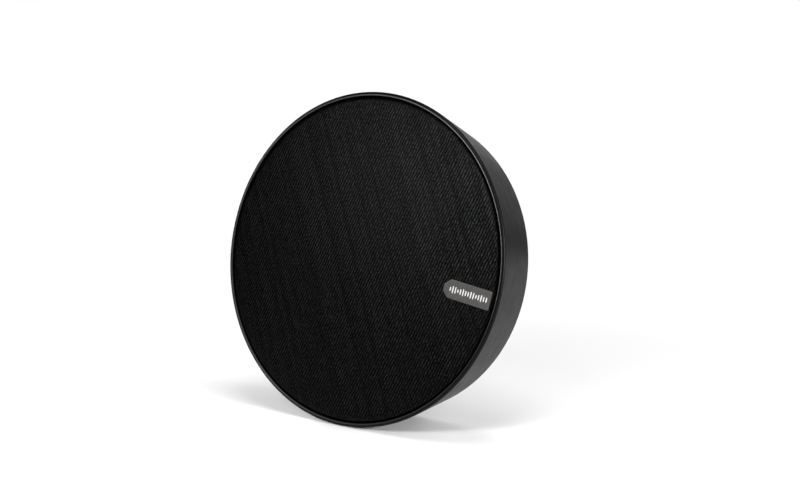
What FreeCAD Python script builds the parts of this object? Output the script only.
"""Round networked wall loudspeaker: tapered cabinet, cloth grille, two drivers and their electronics.

The speaker faces -Y and hangs on the wall plane y = 0, with +Z up. Its round axis is the Y axis, and the
origin is the centre of the wall plate's back face. "Depth" below always means the distance from the wall,
so a face at depth d lies at y = -d. Everything at the front is counted back from the rim, and everything
at the back is counted forward from the wall. All sizes are millimetres.
"""
import FreeCAD, Part
import math
import os

V = FreeCAD.Vector

# ---------------------------------------------------------------- driving sizes: the cabinet
front_diameter = 280.0        # widest size over the rim's shoulder
depth = 64.0                  # wall to the rim's front
taper = 10.0                  # degrees between the side and the round axis
shell_wall = 3.0
back_wall = 3.0
wall_gap = 1.5                # the bumpers hold the back this far off the wall
rim_width = 3.1               # widest radius less the grille opening's
rim_shoulder = 2.4            # radius of the rim's outer rounding
rim_bevel = 0.8               # bevel of the rim's inner edge
back_edge = 1.5               # radius of the back's outer edge
bore_draft = 0.7              # the grille opening is this much narrower at the baffle
seat_wall = 2.1               # side to the baffle's seat, along a radius

# ---------------------------------------------------------------- grille
grille_gap = 1.0              # rim to cloth
grille_setback = 0.6          # the cloth lies this far behind the rim's front
cloth = 0.8                   # cloth thickness
cloth_edge = 3.0              # radius of the cloth where it rolls over the frame
frame_ring_width = 12.0
frame_ring_height = 5.4
frame_web = 2.6
driver_margin = 1.5           # the frame's driver openings are this much larger than the driver
side_window = 20.0            # radius of the frame's two side windows
tag_length = 43.4
tag_width = 15.0
tag_thickness = 0.9
tag_corner = 5.0              # length of the tag's two cut corners
magnet_radius = 5.0
magnet_height = 3.0
magnet_count = 6
magnet_inset = 6.4            # magnet centre to the frame's outer edge
rest_gap = 0.3                # gap kept between pieces that part or turn

# ---------------------------------------------------------------- driver screws
driver_shank = 1.75
driver_head = 3.2
driver_head_height = 1.9
driver_screw_length = 9.5
screw_edge = 4.0              # screw centre to the driver's edge

# ---------------------------------------------------------------- baffle
grille_room = 9.0             # rim's front to the baffle's front
baffle_thickness = 12.0
baffle_fit = 0.3              # radial clearance of the baffle in its seat
ledge_width = 12.0
ledge_thickness = 3.0
gasket_thickness = 1.0
baffle_screw_count = 6
screw_inset = 7.0             # screw centre to the baffle's edge
screw_radius = 2.0
screw_head = 4.0
screw_head_height = 2.4
screw_sink = 2.5              # baffle's front to the underside of a screw's head
screw_length = 22.0
hole_fit = 0.25               # radial clearance of a screw in a plain hole
insert_radius = 3.0
insert_length = 9.0
boss_radius = 5.0

# ---------------------------------------------------------------- woofer
woofer_z = -38.0
woofer_radius = 82.5          # radius over the basket's flange
woofer_depth = 41.0           # flange front to the yoke's back
flange_thickness = 2.0
flange_width = 12.5           # flange's edge to the basket's throat
roll_width = 10.0             # the surround's roll
roll_height = 4.5
rubber = 0.7
cone_depth = 13.3
cone_paper = 0.8
coil_radius = 16.0            # inside of the voice-coil former
former_wall = 0.3
winding = 0.8
coil_height = 12.0
coil_gap = 0.6                # winding to the top plate
pole_gap = 1.0                # pole to the former
yoke_plate = 4.0
magnet_ring = 11.0            # height of the ferrite ring
magnet_ring_radius = 42.0
top_plate = 5.0
basket_sheet = 1.8
basket_pan = 34.0             # radius of the flat the top plate is riveted to
spider_ledge_inner = 36.0
spider_ledge_outer = 42.0
spider_rise = 3.1             # basket's flat to the spider's ledge
basket_window = 14.0          # half the width of a basket window
basket_windows = 6
cap_radius = 24.0
cap_rise = 6.5
cap_paper = 0.5
spider_radius = 41.0
spider_sheet = 0.4
spider_waves = 5
spider_wave = 0.9             # height of one wave
terminal_inset = 22.0         # flange's edge to the terminal strip's middle
terminal_half = 4.0           # half the strip's width
terminal_thickness = 5.4
terminal_spread = 5.0         # each tab's distance from the strip's middle
tab_length = 5.0
woofer_screws = 6
woofer_stroke = 4.0

# ---------------------------------------------------------------- tweeter
tweeter_z = 84.0
tweeter_radius = 30.0
dome_radius = 12.7
dome_height = 4.0
tweeter_plate = 2.0
tweeter_cup_radius = 24.0
tweeter_depth = 19.0
tweeter_screws = 3
dome_wall = 0.3
tweeter_roll = 2.8            # width of the tweeter's surround

# ---------------------------------------------------------------- port and status light
port_x = -88.0
side_z = 52.0
port_bore = 13.0
port_wall = 2.0
port_flare = 5.0
port_length = 34.0
light_x = 88.0
light_radius = 2.5
wadding_z = 82.0
wadding_half_width = 50.0
wadding_half_height = 25.0
wadding_thickness = 20.0

# ---------------------------------------------------------------- wall plate and its bayonet
plate_radius = 46.0
plate_thickness = 3.0
lug_reach = 5.0               # how far a lug stands out of the plate
lug_thickness = 2.0
lug_fit = 1.0                 # lug to the recess wall
lug_angle = 40.0
lug_count = 3
stop_angle = 3.0              # width of the stop beside each lug
stop_step = 2.5               # lug's end to the stop's middle, in degrees
hook_angle = 40.0             # width of each hook in the cabinet's recess
hook_thickness = 1.5
hook_lap = 0.5                # hook's inner edge to the plate's edge
plate_hole = 2.5              # radius of a wall-screw hole
plate_hole_circle = 64.0      # pitch diameter of the wall-screw holes
plate_holes = 4
recess_depth = 7.0            # wall to the recess floor
bumper_radius = 6.0
bumper_sink = 1.0
bumper_circle = 115.0
bumper_count = 3

# ---------------------------------------------------------------- connector pocket in the back
pocket_z = -101.0
pocket_half_width = 42.0
pocket_half_height = 15.0
pocket_floor = 20.0           # depth of the pocket's floor
pocket_wall = 2.5
panel_thickness = 2.0
panel_edge = 1.0              # panel to the pocket's sides
panel_lap = 4.0               # how far the panel laps over the floor's opening
notch_half_width = 6.0
notch_depth = 9.0
inlet_x = -26.0
inlet_half_width = 10.5
inlet_half_height = 6.0
mouth_half_width = 7.9        # the inlet's mouth
mouth_radius = 4.2
pin_radius = 1.2
pin_spread = 4.3              # each mains pin's distance from the inlet's middle
rocker_x = -3.0
rocker_half_width = 6.5
rocker_half_height = 5.0
network_x = 16.0
network_half_width = 8.0
network_half_height = 7.0
line_x = 27.6
line_barrel = 3.0
connector_fit = 0.2           # clearance of a connector in the panel
button_x = 33.8
button_spread = 6.5           # each button's centre above or below the pocket's middle
button_radius = 2.2
button_travel = 1.0
line_bore = 1.8               # bore for a 3.5 mm plug
line_bore_length = 14.0
socket_depth = 12.0           # how deep a plug goes into the inlet or the network socket
io_board_depth = 35.0

# ---------------------------------------------------------------- boards
board_z = -7.0
board_half_width = 28.0
board_half_height = 43.0
board_margin = 1.0            # board to the bayonet recess
board_thickness = 1.6
board_stand = 4.0             # back wall to the board
board_screw_inset = 4.0
core_rise = 8.0               # transformer above the board's middle
inductor_count = 4
fin_pitch = 4.7
fin_count = 7
fin_half = 0.9
heatsink_height = 16.0
mains_lead = 1.1              # radius of each kind of wire
woofer_lead = 0.9
tweeter_lead = 0.7
post_radius = 3.0
post_hole = 1.2               # radius of the pilot holes
small_shank = 1.15
small_head = 2.3
small_head_height = 1.3
small_screw_length = 4.6

# ---------------------------------------------------------------- sizes worked out from these
slope = math.tan(math.radians(taper))
front_radius = front_diameter / 2
rim_inner = front_radius - rim_width
cos_taper = math.cos(math.radians(taper))
sin_taper = math.sin(math.radians(taper))
# The side's line meets the rim's front plane here, outside the rounded shoulder.
sharp_corner = front_radius + rim_shoulder * (slope - cos_taper + 1 / cos_taper)
baffle_front = depth - grille_room
baffle_back = baffle_front - baffle_thickness
ledge_front = baffle_back - gasket_thickness
ledge_back = ledge_front - ledge_thickness
inside_back = wall_gap + back_wall
cloth_front = depth - grille_setback
cloth_radius = rim_inner - grille_gap
frame_front = cloth_front - cloth
frame_back = frame_front - frame_ring_height
frame_radius = cloth_radius - cloth
board_back = inside_back + board_stand
board_front = board_back + board_thickness
recess_radius = plate_radius + lug_reach + lug_fit
board_x = recess_radius + shell_wall + board_margin + board_half_width


def outside(at):
    """Radius of the cabinet's side at a depth."""
    return sharp_corner - slope * (depth - at)


seat_radius = outside(baffle_back) - seat_wall
baffle_radius = seat_radius - baffle_fit
screw_circle = baffle_radius - screw_inset
magnet_circle = frame_radius - magnet_inset


# ---------------------------------------------------------------- shape helpers
def point(radius, at):
    return V(radius, -at, 0)


def outline(steps):
    """Closed face from (radius, depth) steps; a step of two pairs is an arc through the first."""
    edges = []
    here = point(*steps[0])
    for step in steps[1:] + [steps[0]]:
        if len(step) == 4:
            there = point(*step[2:])
            edges.append(Part.Arc(here, point(*step[:2]), there).toShape())
        else:
            there = point(*step)
            if there.isEqual(here, 1e-7):
                continue
            edges.append(Part.LineSegment(here, there).toShape())
        here = there
    return Part.Face(Part.Wire(edges))


def turned(steps, x=0.0, z=0.0):
    """Solid of revolution about a line along Y."""
    solid = outline(steps).revolve(V(0, 0, 0), V(0, 1, 0), 360)
    solid.translate(V(x, 0, z))
    return solid


def strip(line, thickness):
    """Closed outline of a sheet whose middle follows a line of (radius, depth) points."""
    half = thickness / 2
    sides = [[], []]
    for i, (radius, at) in enumerate(line):
        before = line[max(i - 1, 0)]
        after = line[min(i + 1, len(line) - 1)]
        first = math.atan2(at - before[1], radius - before[0]) if i else None
        second = math.atan2(after[1] - at, after[0] - radius) if i < len(line) - 1 else first
        first = second if first is None else first
        lean = (first + second) / 2
        reach = half / math.cos((second - first) / 2)
        sides[0].append((radius - reach * math.sin(lean), at + reach * math.cos(lean)))
        sides[1].append((radius + reach * math.sin(lean), at - reach * math.cos(lean)))
    return sides[0] + sides[1][::-1]


def disc(radius, back, front, x=0.0, z=0.0):
    return Part.makeCylinder(radius, front - back, V(x, -front, z), V(0, 1, 0))


def ring(outer, inner, back, front, x=0.0, z=0.0):
    return disc(outer, back, front, x, z).cut(disc(inner, back - 1, front + 1, x, z))


def block(x, z, half_x, half_z, back, front):
    return Part.makeBox(2 * half_x, front - back, 2 * half_z, V(x - half_x, -front, z - half_z))


def capsule(x, z, half_x, radius, back, front):
    """Slot shape with round ends, long in X."""
    reach = half_x - radius
    middle = block(x, z, reach, radius, back, front)
    return middle.fuse([disc(radius, back, front, x - reach, z), disc(radius, back, front, x + reach, z)])


def polar(radius, degrees):
    turn = math.radians(degrees)
    return radius * math.cos(turn), radius * math.sin(turn)


def spots(radius, count, first=0.0, z=0.0):
    """Centres of a ring of equal parts."""
    ring_spots = [polar(radius, first + 360.0 * i / count) for i in range(count)]
    return [(x, z + height) for x, height in ring_spots]


def sector(outer, inner, back, front, middle, width):
    """Arc-shaped bar about the Y axis; middle and width are degrees."""
    solid = Part.makeCylinder(outer, front - back, V(0, -front, 0), V(0, 1, 0), width)
    # A cylinder about +Y starts on +Z and turns towards +X.
    solid.rotate(V(0, 0, 0), V(0, 1, 0), 90 - middle - width / 2)
    return solid.cut(disc(inner, back - 1, front + 1))


def group(shapes):
    return Part.makeCompound(shapes)


def wire(points, radius, bend):
    """Round wire along straight runs joined by tangent arcs; points are (x, z, depth)."""
    path = [V(x, -at, z) for x, z, at in points]
    edges = []
    here = path[0]
    for before, corner, after in zip(path, path[1:], path[2:]):
        inward = (before - corner).normalize()
        outward = (after - corner).normalize()
        half_turn = (math.pi - inward.getAngle(outward)) / 2
        trim = bend * math.tan(half_turn)
        start = corner + inward * trim
        end = corner + outward * trim
        middle_way = (inward + outward).normalize()
        middle = corner + middle_way * (bend / math.cos(half_turn) - bend)
        edges.append(Part.LineSegment(here, start).toShape())
        edges.append(Part.Arc(start, middle, end).toShape())
        here = end
    edges.append(Part.LineSegment(here, path[-1]).toShape())
    spine = Part.Wire(edges)
    section = Part.Wire(Part.makeCircle(radius, path[0], path[1] - path[0]))
    return spine.makePipeShell([section], True, True)


# ---------------------------------------------------------------- cabinet
def cabinet_shell():
    """Moulded cup with its rim, baffle ledge, bayonet recess, connector pocket and posts."""
    back_radius = outside(wall_gap)
    shoulder_r = sharp_corner - slope * rim_shoulder - rim_shoulder / cos_taper
    shoulder_at = depth - rim_shoulder
    lean = math.radians((90 - taper) / 2)
    wall_offset = shell_wall / cos_taper
    bore_back = rim_inner - bore_draft
    shell = turned([
        (0, wall_gap),
        (back_radius - back_edge, wall_gap),
        (back_radius - 0.22 * back_edge, wall_gap + 0.3 * back_edge,
         outside(wall_gap + back_edge), wall_gap + back_edge),
        (shoulder_r + rim_shoulder * cos_taper, shoulder_at - rim_shoulder * sin_taper),
        (shoulder_r + rim_shoulder * math.cos(lean), shoulder_at + rim_shoulder * math.sin(lean),
         shoulder_r, depth),
        (rim_inner + rim_bevel, depth),
        (rim_inner, depth - rim_bevel),
        (bore_back, baffle_front),
        (seat_radius, baffle_front),
        (seat_radius, ledge_front),
        (seat_radius - ledge_width, ledge_front),
        (seat_radius - ledge_width, ledge_back),
        (outside(ledge_back - ledge_width) - wall_offset, ledge_back - ledge_width),
        (outside(inside_back) - wall_offset, inside_back),
        (0, inside_back),
    ])
    within = turned([
        (0, wall_gap),
        (outside(wall_gap) - 1, wall_gap),
        (outside(ledge_front) - 1, ledge_front),
        (0, ledge_front),
    ])
    pocket_top = pocket_floor + pocket_wall
    adds = [disc(recess_radius + shell_wall, wall_gap, recess_depth + back_wall)]
    adds.append(block(0, pocket_z, pocket_half_width + pocket_wall, pocket_half_height + pocket_wall,
                      wall_gap, pocket_top))
    notch_top = pocket_z - pocket_half_height
    notch_middle = (notch_top - front_radius) / 2
    notch_half = (notch_top + front_radius) / 2
    adds.append(block(0, notch_middle, notch_half_width + pocket_wall, notch_half,
                      wall_gap, notch_depth + pocket_wall))
    for x, z in spots(screw_circle, baffle_screw_count):
        adds.append(disc(boss_radius, ledge_front - insert_length - 3, ledge_front, x, z))
    for x, z in post_spots():
        adds.append(disc(post_radius, inside_back - 1, board_back, x, z))
    shell = shell.fuse([piece.common(within) for piece in adds])
    cuts = [disc(recess_radius, wall_gap - 1, recess_depth)]
    cuts.append(block(0, pocket_z, pocket_half_width, pocket_half_height, wall_gap - 1, pocket_floor))
    cuts.append(block(0, pocket_z, pocket_half_width - panel_edge - panel_lap,
                      pocket_half_height - panel_edge - panel_lap, pocket_floor - 1, pocket_top + 1))
    cuts.append(block(0, notch_middle - 1, notch_half_width, notch_half + 1 + pocket_wall,
                      wall_gap - 1, notch_depth))
    for x, z in spots(screw_circle, baffle_screw_count):
        cuts.append(disc(insert_radius, ledge_front - insert_length, ledge_front + 1, x, z))
        cuts.append(disc(screw_radius + hole_fit, ledge_front - insert_length - 2, ledge_front, x, z))
    for x, z in post_spots():
        cuts.append(disc(post_hole, inside_back, board_back + 1, x, z))
    for x, z in spots(bumper_circle, bumper_count, 90):
        cuts.append(disc(bumper_radius, wall_gap - 1, wall_gap + bumper_sink, x, z))
    for x, z in panel_screw_spots():
        cuts.append(disc(post_hole, pocket_floor - 1, pocket_top + 1, x, z))
    shell = shell.cut(cuts)
    hooks = [sector(recess_radius + 1, plate_radius + hook_lap, wall_gap, wall_gap + hook_thickness,
                    90 + 360.0 * i / lug_count, hook_angle) for i in range(lug_count)]
    return shell.fuse(hooks).removeSplitter()


def post_spots():
    """Centres of the posts under the two boards."""
    reach_x = board_half_width - board_screw_inset
    reach_z = board_half_height - board_screw_inset
    return [(side * board_x + u * reach_x, board_z + v * reach_z)
            for side in (-1, 1) for u in (-1, 1) for v in (-1, 1)]


def panel_screw_spots():
    reach = pocket_half_width - panel_edge - small_head
    rise = pocket_half_height - panel_edge - small_head
    return [(u * reach, pocket_z + v * rise) for u in (-1, 1) for v in (-1, 1)]


def wall_bumpers():
    return group([disc(bumper_radius, 0, wall_gap + bumper_sink, x, z)
                  for x, z in spots(bumper_circle, bumper_count, 90)])


def wall_plate():
    """Round plate with three bayonet lugs, a stop beside each, and four countersunk wall-screw holes."""
    lug_back = plate_thickness + rest_gap
    lug_front = lug_back + lug_thickness
    plate = disc(plate_radius, 0, plate_thickness)
    plate = plate.fuse(ring(plate_radius, plate_radius - 4, plate_thickness, lug_front))
    for i in range(lug_count):
        middle = 90 + 360.0 * i / lug_count
        lug = sector(plate_radius + lug_reach, plate_radius - 1, lug_back, lug_front, middle, lug_angle)
        stop_middle = middle + lug_angle / 2 + stop_step
        stop = sector(plate_radius + lug_reach, plate_radius - 1, wall_gap, lug_front,
                      stop_middle, stop_angle)
        plate = plate.fuse([lug, stop])
    cuts = []
    for x, z in spots(plate_hole_circle / 2, plate_holes, 45):
        cuts.append(disc(plate_hole, -1, plate_thickness + 1, x, z))
        sink = turned([(0, plate_thickness - 1.6), (plate_hole, plate_thickness - 1.6),
                       (plate_hole + 2.6, plate_thickness + 1), (0, plate_thickness + 1)], x, z)
        cuts.append(sink)
    return plate.cut(cuts).removeSplitter()


# ---------------------------------------------------------------- baffle and what holds it
def baffle():
    """Round board with rebated driver openings, the port and light holes, and its screw holes."""
    board = disc(baffle_radius, baffle_back, baffle_front)
    throat = woofer_radius - flange_width + 4.5
    cuts = [
        disc(woofer_radius + baffle_fit, baffle_front - flange_thickness, baffle_front + 1, 0, woofer_z),
        disc(throat, baffle_back - 1, baffle_front, 0, woofer_z),
        disc(tweeter_radius + baffle_fit, baffle_front - tweeter_plate, baffle_front + 1, 0, tweeter_z),
        disc(tweeter_cup_radius + 1.5, baffle_back - 1, baffle_front, 0, tweeter_z),
        disc(port_bore + port_wall + 0.1, baffle_back - 1, baffle_front + 1, port_x, side_z),
        disc(port_bore + port_wall + port_flare + 0.1, baffle_front - 2, baffle_front + 1, port_x, side_z),
        disc(light_radius + 0.1, baffle_back - 1, baffle_front + 1, light_x, side_z),
    ]
    for x, z in spots(screw_circle, baffle_screw_count):
        cuts.append(disc(screw_radius + hole_fit, baffle_back - 1, baffle_front + 1, x, z))
        cuts.append(disc(screw_head + hole_fit, baffle_front - screw_sink, baffle_front + 1, x, z))
    for x, z in driver_screw_spots():
        cuts.append(disc(driver_shank + 0.05, baffle_back + 2, baffle_front, x, z))
    return board.cut(cuts)


def baffle_gasket():
    flat = ring(baffle_radius, seat_radius - ledge_width + 0.5, ledge_front, baffle_back)
    holes = [disc(screw_radius + 1.2, ledge_front - 1, baffle_back + 1, x, z)
             for x, z in spots(screw_circle, baffle_screw_count)]
    return flat.cut(holes)


def machine_screw(x, z, seat, head, head_height, shank, length):
    """Pan-head screw driven from the front; seat is the depth of the head's underside."""
    shape = turned([
        (0, seat - length),
        (shank, seat - length),
        (shank, seat),
        (head, seat),
        (head, seat + 0.4 * head_height),
        (0.85 * head, seat + 0.85 * head_height, 0.4 * head, seat + head_height),
        (0, seat + head_height),
    ], x, z)
    arm = 0.42 * head
    cross = [block(x, z, arm, 0.12 * head, seat + 0.4 * head_height, seat + head_height + 1),
             block(x, z, 0.12 * head, arm, seat + 0.4 * head_height, seat + head_height + 1)]
    return shape.cut(cross)


def baffle_screws():
    return group([machine_screw(x, z, baffle_front - screw_sink, screw_head, screw_head_height, screw_radius,
                                screw_length - screw_sink)
                  for x, z in spots(screw_circle, baffle_screw_count)])


def threaded_inserts():
    return group([ring(insert_radius, screw_radius + 0.05, ledge_front - insert_length, ledge_front, x, z)
                  for x, z in spots(screw_circle, baffle_screw_count)])


# ---------------------------------------------------------------- grille
def grille_frame():
    """Rounded ring with a thin web that is open in front of each driver."""
    edge = cloth_edge - cloth
    bend = edge * (1 - math.sqrt(0.5))
    frame = turned([
        (frame_radius - frame_ring_width, frame_back),
        (frame_radius, frame_back),
        (frame_radius, frame_front - edge),
        (frame_radius - bend, frame_front - bend, frame_radius - edge, frame_front),
        (frame_radius - frame_ring_width, frame_front),
    ])
    web = disc(frame_radius - frame_ring_width + 0.5, frame_front - frame_web, frame_front)
    windows = [
        disc(woofer_radius + driver_margin, frame_back, frame_front + 1, 0, woofer_z),
        disc(tweeter_radius + driver_margin, frame_back, frame_front + 1, 0, tweeter_z),
        disc(side_window, frame_back, frame_front + 1, port_x, side_z),
        disc(side_window, frame_back, frame_front + 1, light_x, side_z),
    ]
    pockets = [disc(magnet_radius, frame_back - 1, frame_back + magnet_height, x, z)
               for x, z in spots(magnet_circle, magnet_count, 30)]
    return frame.fuse(web.cut(windows)).cut(pockets).removeSplitter()


def grille_magnets():
    return group([disc(magnet_radius, frame_back, frame_back + magnet_height, x, z)
                  for x, z in spots(magnet_circle, magnet_count, 30)])


def grille_catches():
    return group([disc(magnet_radius, baffle_front, frame_back - rest_gap, x, z)
                  for x, z in spots(magnet_circle - 1, magnet_count, 30)])


def grille_fabric():
    """Cloth cap stretched over the frame, with its edge rolled round it."""
    inner = cloth_edge - cloth
    outer_bend = cloth_edge * (1 - math.sqrt(0.5))
    inner_bend = inner * (1 - math.sqrt(0.5))
    inner_radius = cloth_radius - cloth
    hem = frame_back + 0.6
    return turned([
        (0, frame_front),
        (inner_radius - inner, frame_front),
        (inner_radius - inner_bend, frame_front - inner_bend, inner_radius, frame_front - inner),
        (inner_radius, hem),
        (cloth_radius, hem),
        (cloth_radius, cloth_front - cloth_edge),
        (cloth_radius - outer_bend, cloth_front - outer_bend, cloth_radius - cloth_edge, cloth_front),
        (0, cloth_front),
    ])


def name_tag():
    """Flat tab at three o'clock whose inner end has two cut corners."""
    outer = cloth_radius - cloth_edge
    inner = outer - tag_length
    half = tag_width / 2
    corners = [(outer, -half), (outer, half), (inner + tag_corner, half), (inner, half - tag_corner),
               (inner, tag_corner - half), (inner + tag_corner, -half)]
    loop = Part.makePolygon([V(x, -cloth_front, z) for x, z in corners + corners[:1]])
    return Part.Face(loop).extrude(V(0, -tag_thickness, 0))


# ---------------------------------------------------------------- woofer
throat_radius = woofer_radius - flange_width      # outer edge of the surround's roll
roll_inner = throat_radius - roll_width           # inner edge of the roll, where the cone ends
former_radius = coil_radius + former_wall
winding_radius = former_radius + winding
top_plate_back = baffle_front - woofer_depth + yoke_plate + magnet_ring
top_plate_front = top_plate_back + top_plate
basket_floor = top_plate_front + basket_sheet / 2
spider_seat = basket_floor + spider_rise
cone_edge = baffle_front - 1.2
cone_neck = cone_edge - cone_depth
# The basket's wall leans from the spider's ledge to the throat; the terminal strip rests on its outside.
wall_top_radius = throat_radius - 4
wall_top = baffle_front - 11
wall_lean = (wall_top - spider_seat) / (wall_top_radius - spider_ledge_outer)
wall_skin = basket_sheet / 2 * math.sqrt(1 + wall_lean ** 2)
terminal_reach = woofer_radius - terminal_inset - terminal_half - spider_ledge_outer
terminal_front = spider_seat + wall_lean * terminal_reach - wall_skin
terminal_back = terminal_front - terminal_thickness


def woofer_basket():
    """Pressed steel basket with a ring of windows."""
    line = [
        (coil_radius + 6, basket_floor),
        (basket_pan, basket_floor),
        (spider_ledge_inner, spider_seat),
        (spider_ledge_outer, spider_seat),
        (wall_top_radius, wall_top),
        (throat_radius + 0.6, baffle_front - flange_thickness - 3),
        (throat_radius + 0.6, baffle_front - 0.9),
    ]
    shell = turned(strip(line, basket_sheet), 0, woofer_z)
    flange = ring(woofer_radius, throat_radius, baffle_front - flange_thickness, baffle_front, 0, woofer_z)
    windows = []
    window_inner = spider_ledge_outer + 2
    window_outer = throat_radius - 6
    for i in range(basket_windows):
        window = block(0, (window_outer + window_inner) / 2, basket_window,
                       (window_outer - window_inner) / 2, spider_seat - 3, baffle_front - 7)
        window.rotate(V(0, 0, 0), V(0, 1, 0), 360.0 * i / basket_windows)
        window.translate(V(0, 0, woofer_z))
        windows.append(window)
    holes = [disc(driver_shank + hole_fit, baffle_front - 5, baffle_front + 1, x, z)
             for x, z in driver_screw_spots()]
    open_middle = disc(throat_radius - 0.3, baffle_front - 4, baffle_front + 1, 0, woofer_z)
    return shell.fuse(flange).cut(windows + holes + [open_middle])


def woofer_surround():
    inner = roll_inner
    outer = throat_radius
    middle = (inner + outer) / 2
    base = baffle_front
    return turned([
        (inner - 3, base),
        (inner + rubber, base),
        (middle, base + roll_height - rubber, outer - rubber, base),
        (outer + 3.5, base),
        (outer + 3.5, base + rubber),
        (outer, base + rubber),
        (middle, base + roll_height, inner, base + rubber),
        (inner - 3, base + rubber),
    ], 0, woofer_z)


def woofer_gasket():
    back = baffle_front + rubber
    return ring(throat_radius + 3.5, throat_radius + 0.8, back, back + 1.5, 0, woofer_z)


def driver_screw_spots():
    """Centres of the screws round the woofer's flange and round the tweeter's faceplate."""
    woofer = spots(woofer_radius - screw_edge, woofer_screws, 30, woofer_z)
    return woofer + spots(tweeter_radius - screw_edge, tweeter_screws, 30, tweeter_z)


def driver_screws():
    return group([machine_screw(x, z, baffle_front, driver_head, driver_head_height, driver_shank,
                                driver_screw_length)
                  for x, z in driver_screw_spots()])


def woofer_terminals():
    """Terminal strip on the outside of the basket."""
    x = woofer_radius - terminal_inset
    strip_block = block(x, woofer_z, terminal_half, 9, terminal_back, terminal_front)
    tabs = [block(x, woofer_z + side * terminal_spread, 2.4, 0.4, terminal_back - tab_length, terminal_back)
            for side in (-1, 1)]
    return strip_block.fuse(tabs)


def woofer_cone():
    line = [(former_radius + 0.5, cone_neck), (roll_inner - 0.5, cone_edge)]
    return turned(strip(line, cone_paper), 0, woofer_z)


def cone_depth_at(radius):
    share = (radius - former_radius) / (roll_inner - former_radius)
    return cone_neck + share * cone_depth


def dust_cap():
    foot = cone_depth_at(cap_radius) + 0.75
    sphere = (cap_radius ** 2 + cap_rise ** 2) / (2 * cap_rise)
    half = math.asin(cap_radius / sphere) / 2
    inner = sphere - cap_paper
    centre = foot + cap_rise - sphere
    full = 2 * half
    return turned([
        (inner * math.sin(full), centre + inner * math.cos(full)),
        (sphere * math.sin(full), centre + sphere * math.cos(full)),
        (sphere * math.sin(half), centre + sphere * math.cos(half), 0, centre + sphere),
        (0, centre + inner),
        (inner * math.sin(half), centre + inner * math.cos(half),
         inner * math.sin(full), centre + inner * math.cos(full)),
    ], 0, woofer_z)


def coil_former():
    back = top_plate_back + top_plate / 2 - coil_height / 2 - 2
    return ring(former_radius, coil_radius, back, cone_neck + 0.3, 0, woofer_z)


def voice_coil():
    middle = top_plate_back + top_plate / 2
    half = coil_height / 2
    return ring(winding_radius, former_radius, middle - half, middle + half, 0, woofer_z)


def spider():
    """Corrugated suspension disc between the former and the basket's seat."""
    inner = former_radius + 0.2
    at = spider_seat + basket_sheet / 2 + 0.35
    run = (spider_radius - 4 - inner - 2) / (2 * spider_waves)
    line = [(inner, at), (inner + 2, at)]
    for i in range(2 * spider_waves - 1):
        line.append((inner + 2 + run * (i + 1), at + (spider_wave if i % 2 == 0 else 0.2)))
    line.extend([(spider_radius - 4, at), (spider_radius, at)])
    return turned(strip(line, spider_sheet), 0, woofer_z)


def woofer_top_plate():
    return ring(magnet_ring_radius - 3, winding_radius + coil_gap, top_plate_back, top_plate_front,
                0, woofer_z)


def woofer_magnet():
    return ring(magnet_ring_radius, winding_radius + 3, top_plate_back - magnet_ring, top_plate_back,
                0, woofer_z)


def woofer_yoke():
    back = baffle_front - woofer_depth
    pole = coil_radius - pole_gap
    return turned([
        (0, back),
        (magnet_ring_radius - 2.5, back),
        (magnet_ring_radius - 1.5, back + 1),
        (magnet_ring_radius - 1.5, back + yoke_plate),
        (pole, back + yoke_plate),
        (pole, top_plate_front - 0.5),
        (pole - 0.5, top_plate_front),
        (0, top_plate_front),
    ], 0, woofer_z)


# ---------------------------------------------------------------- tweeter
def tweeter_faceplate():
    mouth = dome_radius + tweeter_roll + 0.4
    plate = turned([
        (mouth, baffle_front - tweeter_plate),
        (tweeter_radius, baffle_front - tweeter_plate),
        (tweeter_radius, baffle_front - 0.5),
        (tweeter_radius - 0.5, baffle_front),
        (mouth + 5, baffle_front),
        (mouth + 0.8, baffle_front - 1.1, mouth, baffle_front - 1.6),
    ], 0, tweeter_z)
    holes = [disc(driver_shank + hole_fit, baffle_front - 4, baffle_front + 1, x, z)
             for x, z in driver_screw_spots()]
    return plate.cut(holes)


def tweeter_cup():
    """Steel cup closed by a ring plate that carries the faceplate."""
    front = baffle_front - tweeter_plate
    back = front - tweeter_depth
    gap_outer = dome_radius + 1.0
    return turned([
        (0, back),
        (tweeter_cup_radius - 1, back),
        (tweeter_cup_radius, back + 1),
        (tweeter_cup_radius, front - 1.4),
        (gap_outer, front - 1.4),
        (gap_outer, front - 5),
        (tweeter_cup_radius - 3, front - 5),
        (tweeter_cup_radius - 3, back + 3),
        (0, back + 3),
    ], 0, tweeter_z)


def tweeter_magnet():
    back = baffle_front - tweeter_plate - tweeter_depth + 3
    return disc(dome_radius - 2.2, back, baffle_front - tweeter_plate - 5, 0, tweeter_z)


def tweeter_pole():
    back = baffle_front - tweeter_plate - 5
    return disc(dome_radius - 0.9, back, back + 3.4, 0, tweeter_z)


def tweeter_dome():
    foot = baffle_front - tweeter_plate + 0.3
    sphere = (dome_radius ** 2 + dome_height ** 2) / (2 * dome_height)
    full = math.asin(dome_radius / sphere)
    inner = sphere - dome_wall
    centre = foot + dome_height - sphere
    return turned([
        (inner * math.sin(full), centre + inner * math.cos(full)),
        (sphere * math.sin(full), centre + sphere * math.cos(full)),
        (sphere * math.sin(full / 2), centre + sphere * math.cos(full / 2), 0, centre + sphere),
        (0, centre + inner),
        (inner * math.sin(full / 2), centre + inner * math.cos(full / 2),
         inner * math.sin(full), centre + inner * math.cos(full)),
    ], 0, tweeter_z)


def tweeter_coil():
    foot = baffle_front - tweeter_plate - 0.1
    return ring(dome_radius + 0.1, dome_radius - 0.4, foot - 5, foot, 0, tweeter_z)


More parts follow.
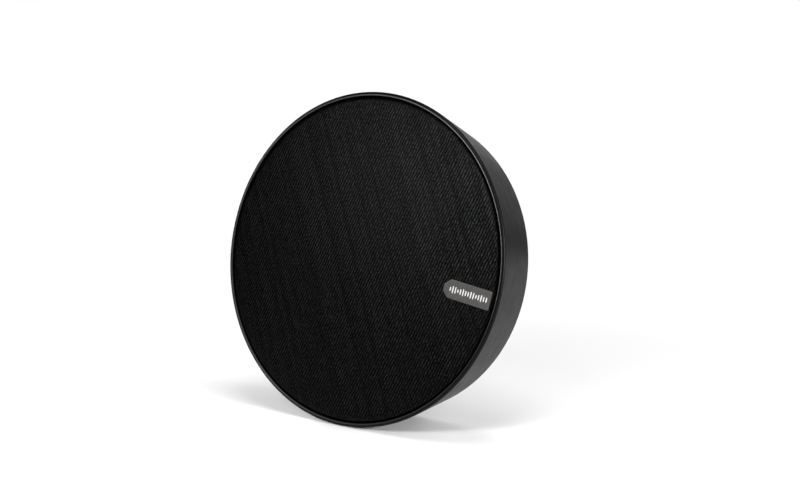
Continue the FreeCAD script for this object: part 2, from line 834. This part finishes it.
def tweeter_surround():
    inner = dome_radius + 0.25
    outer = dome_radius + tweeter_roll + 0.2
    middle = (inner + outer) / 2
    base = baffle_front - tweeter_plate
    skin = 0.25
    return turned([
        (inner, base),
        (inner + skin, base),
        (middle, base + 1.1 - skin, outer - skin, base),
        (outer - skin, base - 1.3),
        (outer + 3, base - 1.3),
        (outer + 3, base - 1.3 + skin),
        (outer, base - 1.3 + skin),
        (outer, base + skin),
        (middle, base + 1.1, inner, base + skin),
    ], 0, tweeter_z)


# ---------------------------------------------------------------- port, status light, wadding
def bass_port():
    front = baffle_front
    flare_bend = port_flare * (1 - math.sqrt(0.5))
    outer = port_bore + port_wall
    return turned([
        (port_bore, front - port_length),
        (outer, front - port_length),
        (outer, front - 2),
        (outer + port_flare, front - 2),
        (outer + port_flare, front - 0.3),
        (port_bore + port_flare, front),
        (port_bore + flare_bend, front - flare_bend, port_bore, front - port_flare),
    ], port_x, side_z)


def status_light_guide():
    guide = disc(light_radius, baffle_back, baffle_front + 1.5, light_x, side_z)
    return guide.fuse(disc(light_radius + 1.5, baffle_front, baffle_front + 1.0, light_x, side_z))


def status_light_board():
    board = block(light_x, side_z, 9, 6, baffle_back - board_thickness, baffle_back)
    return board


def damping_wadding():
    """Soft pad on the back wall above the wall plate's recess."""
    front = inside_back + wadding_thickness
    pad = block(0, wadding_z, wadding_half_width, wadding_half_height, inside_back, front)
    return pad.common(disc(outside(inside_back) - shell_wall - 3, inside_back, front))


# ---------------------------------------------------------------- connector pocket
panel_back = pocket_floor - panel_thickness       # the panel's face towards the wall
pins_end = panel_back + 17


def connector_panel():
    plate = block(0, pocket_z, pocket_half_width - panel_edge, pocket_half_height - panel_edge,
                  panel_back, pocket_floor)
    cuts = [
        disc(line_barrel + connector_fit, panel_back - 1, pocket_floor + 1, line_x, pocket_z),
    ]
    for x, half_x, half_z in ((inlet_x, inlet_half_width, inlet_half_height),
                              (rocker_x, rocker_half_width, rocker_half_height),
                              (network_x, network_half_width, network_half_height)):
        cuts.append(block(x, pocket_z, half_x + connector_fit, half_z + connector_fit,
                          panel_back - 1, pocket_floor + 1))
    for side in (-1, 1):
        cuts.append(disc(button_radius + rest_gap, panel_back - 1, pocket_floor + 1,
                         button_x, pocket_z + side * button_spread))
    for x, z in panel_screw_spots():
        cuts.append(disc(small_shank + 0.15, panel_back - 1, pocket_floor + 1, x, z))
    return plate.cut(cuts)


def small_screw(x, z):
    return machine_screw(x, z, 0, small_head, small_head_height, small_shank, small_screw_length)


def small_screws():
    """Identical self-tapping screws: eight through the boards and four through the panel."""
    screws = [small_screw(x, z) for x, z in post_spots()]
    for screw in screws:
        screw.translate(V(0, -board_front, 0))
    for x, z in panel_screw_spots():
        screw = small_screw(x, z)
        screw.rotate(V(x, 0, z), V(0, 0, 1), 180)
        screw.translate(V(0, -panel_back, 0))
        screws.append(screw)
    return group(screws)


def power_inlet():
    """Two-pole mains inlet with a figure-eight mouth."""
    body = block(inlet_x, pocket_z, inlet_half_width, inlet_half_height, panel_back, panel_back + 16)
    flange = block(inlet_x, pocket_z, inlet_half_width + 2, inlet_half_height + 2,
                   panel_back - 1.5, panel_back)
    mouth = capsule(inlet_x, pocket_z, mouth_half_width, mouth_radius,
                    panel_back - 2, panel_back - 1.5 + socket_depth)
    pins = [disc(pin_radius + 0.05, panel_back, panel_back + 20, inlet_x + side * pin_spread, pocket_z)
            for side in (-1, 1)]
    return body.fuse(flange).cut([mouth] + pins)


def socket_contacts():
    """The inlet's two pins and the network socket's eight springs."""
    pins = [disc(pin_radius, panel_back + 1, pins_end, inlet_x + side * pin_spread, pocket_z)
            for side in (-1, 1)]
    first = network_x - 3.5
    springs = [block(first + i, pocket_z + 2.9, 0.25, 0.4, panel_back + 2.5, panel_back + 9)
               for i in range(8)]
    return group(pins + springs)


rocker_pivot = panel_back + 1.5
rocker_tilt = 7.0             # the rocker rests this far to one side


def rocker_housing():
    body = block(rocker_x, pocket_z, rocker_half_width, rocker_half_height, panel_back, panel_back + 12)
    flange = block(rocker_x, pocket_z, rocker_half_width + 2, rocker_half_height + 2,
                   panel_back - 1.2, panel_back)
    hollow = block(rocker_x, pocket_z, 5.6, 4.2, panel_back - 2, panel_back + 8)
    axle = Part.makeCylinder(0.85, 9.4, V(rocker_x, -rocker_pivot, pocket_z - 4.7), V(0, 0, 1))
    return body.fuse(flange).cut([hollow, axle])


def power_rocker():
    """Rocker with a shallow V face and two stub axles, resting on its off side."""
    half = 5.2
    dip = half * math.tan(math.radians(rocker_tilt))
    corners = [(-half, -3.0 - dip / 2), (0, -3.0 + dip / 2), (half, -3.0 - dip / 2), (half, 0.6),
               (2.0, 3.4), (-2.0, 3.4), (-half, 0.6)]
    loop = Part.makePolygon([V(rocker_x + x, -(rocker_pivot + at), pocket_z - 3.9)
                             for x, at in corners + corners[:1]])
    body = Part.Face(loop).extrude(V(0, 0, 7.8))
    axle = Part.makeCylinder(0.8, 9.2, V(rocker_x, -rocker_pivot, pocket_z - 4.6), V(0, 0, 1))
    rocker = body.fuse(axle)
    rocker.rotate(V(rocker_x, -rocker_pivot, pocket_z), V(0, 0, 1), -rocker_tilt)
    return rocker


def network_socket():
    """Eight-way network socket with a latch notch."""
    body = block(network_x, pocket_z, network_half_width, network_half_height,
                 panel_back - 0.5, io_board_depth)
    mouth = block(network_x, pocket_z + 0.6, 5.95, 3.6, panel_back - 2, panel_back + socket_depth)
    latch = block(network_x, pocket_z - 4.0, 3.2, 1.4, panel_back - 2, panel_back + socket_depth - 2)
    return body.cut([mouth, latch])


def line_socket():
    """Bored barrel for a 3.5 mm plug on a square body."""
    body = block(line_x, pocket_z, 3.3, 3.4, pocket_floor + 0.2, io_board_depth)
    barrel = disc(line_barrel, panel_back - 0.8, pocket_floor + 0.2, line_x, pocket_z)
    bore = disc(line_bore, panel_back - 0.8, panel_back - 0.8 + line_bore_length, line_x, pocket_z)
    return body.fuse(barrel).cut(bore)


def pair_button():
    return push_button(1)


def reset_button():
    return push_button(-1)


def push_button(side):
    """Plunger with a domed end and a collar that keeps it behind the panel."""
    z = pocket_z + side * button_spread
    tip = panel_back - 2.0
    rear = io_board_depth - 4.0
    return turned([
        (0, tip),
        (button_radius - 0.8, tip),
        (button_radius - 0.2, tip + 0.2, button_radius, tip + 0.8),
        (button_radius, pocket_floor + 0.4),
        (button_radius + 0.7, pocket_floor + 0.4),
        (button_radius + 0.7, pocket_floor + 1.4),
        (1.2, pocket_floor + 1.4),
        (1.2, rear),
        (0, rear),
    ], button_x, z)


def button_switches():
    """Two tactile switches on the I/O board, with room for the buttons' travel."""
    switches = []
    for side in (-1, 1):
        z = pocket_z + side * button_spread
        body = block(button_x, z, 2.6, 2.6, io_board_depth - 2.0, io_board_depth)
        switches.append(body.fuse(disc(1.0, io_board_depth - 2.7, io_board_depth - 2.0, button_x, z)))
    return group(switches)


def io_board():
    right = pocket_half_width - 0.8
    left = network_x - 9.5
    return block((left + right) / 2, pocket_z, (right - left) / 2, 12.5,
                 io_board_depth, io_board_depth + board_thickness)


# ---------------------------------------------------------------- boards
def power_board():
    return circuit_board(-1)


def main_board():
    return circuit_board(1)


def circuit_board(side):
    board = block(side * board_x, board_z, board_half_width, board_half_height, board_back, board_front)
    holes = [disc(small_shank + 0.2, board_back - 1, board_front + 1, x, z)
             for x, z in post_spots() if x * side > 0]
    return board.cut(holes)


def transformer_core():
    core = block(-board_x, board_z + core_rise, 15, 13, board_front, board_front + 22)
    windows = [block(-board_x + side * 9, board_z + core_rise, 3.5, 14, board_front + 5, board_front + 17)
               for side in (-1, 1)]
    return core.cut(windows)


def transformer_winding():
    outer = block(-board_x, board_z + core_rise, 12, 16, board_front + 5.5, board_front + 16.5)
    leg = block(-board_x, board_z + core_rise, 5.5, 13, board_front + 4, board_front + 18)
    return outer.cut(leg.fuse(transformer_core()))


def capacitors():
    """Five on the power board and three on the main board; each row is x, z, radius, height."""
    supply = [(-18, -30, 8, 22), (2, -30, 8, 22), (-20, 32, 5, 14), (-8, 32, 5, 14), (4, 32, 5, 14)]
    cans = [disc(radius, board_front, board_front + height, -board_x + x, board_z + z)
            for x, z, radius, height in supply]
    cans += [disc(3.5, board_front, board_front + 9, board_x - 22, board_z + 6 + 9 * i) for i in range(3)]
    return group(cans)


def network_module():
    return block(board_x + 6, board_z + 26, 13, 10, board_front, board_front + 3.5)


def amplifier_chip():
    return block(board_x - 2, board_z - 4, 6, 6, board_front, board_front + 1.6)


def amplifier_heatsink():
    """Aluminium block with upright fins, seated on the amplifier chip."""
    base_at = board_front + 1.6
    base = block(board_x - 2, board_z - 4, 15, 13, base_at, base_at + 3)
    first = board_x - 2 - fin_pitch * (fin_count - 1) / 2
    fins = [block(first + fin_pitch * i, board_z - 4, fin_half, 13,
                  base_at + 2.9, base_at + heatsink_height) for i in range(fin_count)]
    return base.fuse(fins).removeSplitter()


def output_inductors():
    return group([disc(5.5, board_front, board_front + 8, board_x - 20 + 13 * i, board_z - 28)
                  for i in range(inductor_count)])


signal_plug = (board_x - 24.5, board_z - 12)
mains_plug = (-board_x + 18, board_z - 12)
plug_top = board_front + 6


def board_plugs():
    places = [signal_plug, mains_plug, (mains_plug[0], board_z + 30)]
    return group([block(x, z, 3, 5, board_front, plug_top) for x, z in places])


def antennas():
    turned_boards = []
    for degrees in (50, 130):
        x, z = polar(outside(inside_back) - 18, degrees)
        board = block(0, 0, 4, 17, inside_back, inside_back + 1)
        board.rotate(V(0, 0, 0), V(0, 1, 0), -degrees)
        board.translate(V(x, 0, z))
        turned_boards.append(board)
    return group(turned_boards)


# ---------------------------------------------------------------- harness
def mains_wires():
    plug_x, plug_z = mains_plug
    leads = []
    for side in (-1, 1):
        pin_x = inlet_x + side * pin_spread
        over = pins_end + 3.3 + side * 1.3
        end_x = plug_x + side * 1.6
        leads.append(wire([(pin_x, pocket_z, pins_end), (pin_x, pocket_z, over), (end_x, pocket_z + 39, over),
                           (end_x, plug_z, plug_top + 10), (end_x, plug_z, plug_top)], mains_lead, 1.6))
    return leads


def woofer_wires():
    plug_x, plug_z = signal_plug
    end_x = woofer_radius - terminal_inset
    tabs_back = terminal_back - tab_length
    leads = []
    for side in (-1, 1):
        end_z = woofer_z + side * terminal_spread
        leads.append(wire([(plug_x, plug_z + side * 2, plug_top), (plug_x, plug_z + side * 2, plug_top + 7),
                           (end_x, end_z, tabs_back - 5), (end_x, end_z, tabs_back)], woofer_lead, 2.0))
    return leads


def tweeter_wires():
    plug_x, plug_z = signal_plug
    leads = []
    for side in (-1, 1):
        start_z = plug_z + side * 4.1
        over = plug_top + 12 + side * 2
        end_z = tweeter_z + side * 2
        leads.append(wire([(plug_x, start_z, plug_top), (plug_x, start_z, over), (42, end_z, over),
                           (42, end_z, baffle_back - 1),
                           (tweeter_cup_radius + 0.2, end_z, baffle_back - 1)],
                          tweeter_lead, 2.5))
    return leads


def harness_wires():
    return group(mains_wires() + woofer_wires() + tweeter_wires())


makers = [
    cabinet_shell, wall_bumpers, wall_plate,
    baffle, baffle_gasket, baffle_screws, threaded_inserts,
    grille_frame, grille_magnets, grille_catches, grille_fabric, name_tag,
    woofer_basket, woofer_surround, woofer_gasket, woofer_terminals, driver_screws,
    woofer_cone, dust_cap, coil_former, voice_coil, spider,
    woofer_top_plate, woofer_magnet, woofer_yoke,
    tweeter_faceplate, tweeter_cup, tweeter_magnet, tweeter_pole,
    tweeter_dome, tweeter_coil, tweeter_surround,
    bass_port, status_light_guide, status_light_board, damping_wadding,
    connector_panel, small_screws, power_inlet, socket_contacts, rocker_housing, power_rocker,
    network_socket, line_socket, pair_button, reset_button, button_switches, io_board,
    power_board, main_board, transformer_core, transformer_winding, capacitors,
    network_module, amplifier_chip, amplifier_heatsink, output_inductors, board_plugs,
    antennas, harness_wires,
]

os.makedirs("parts", exist_ok=True)
for make in makers:
    shape = make()
    shape.exportStep("parts/" + make.__name__ + ".step")
    print(make.__name__, len(shape.Solids), shape.isValid(), round(shape.Volume, 1))
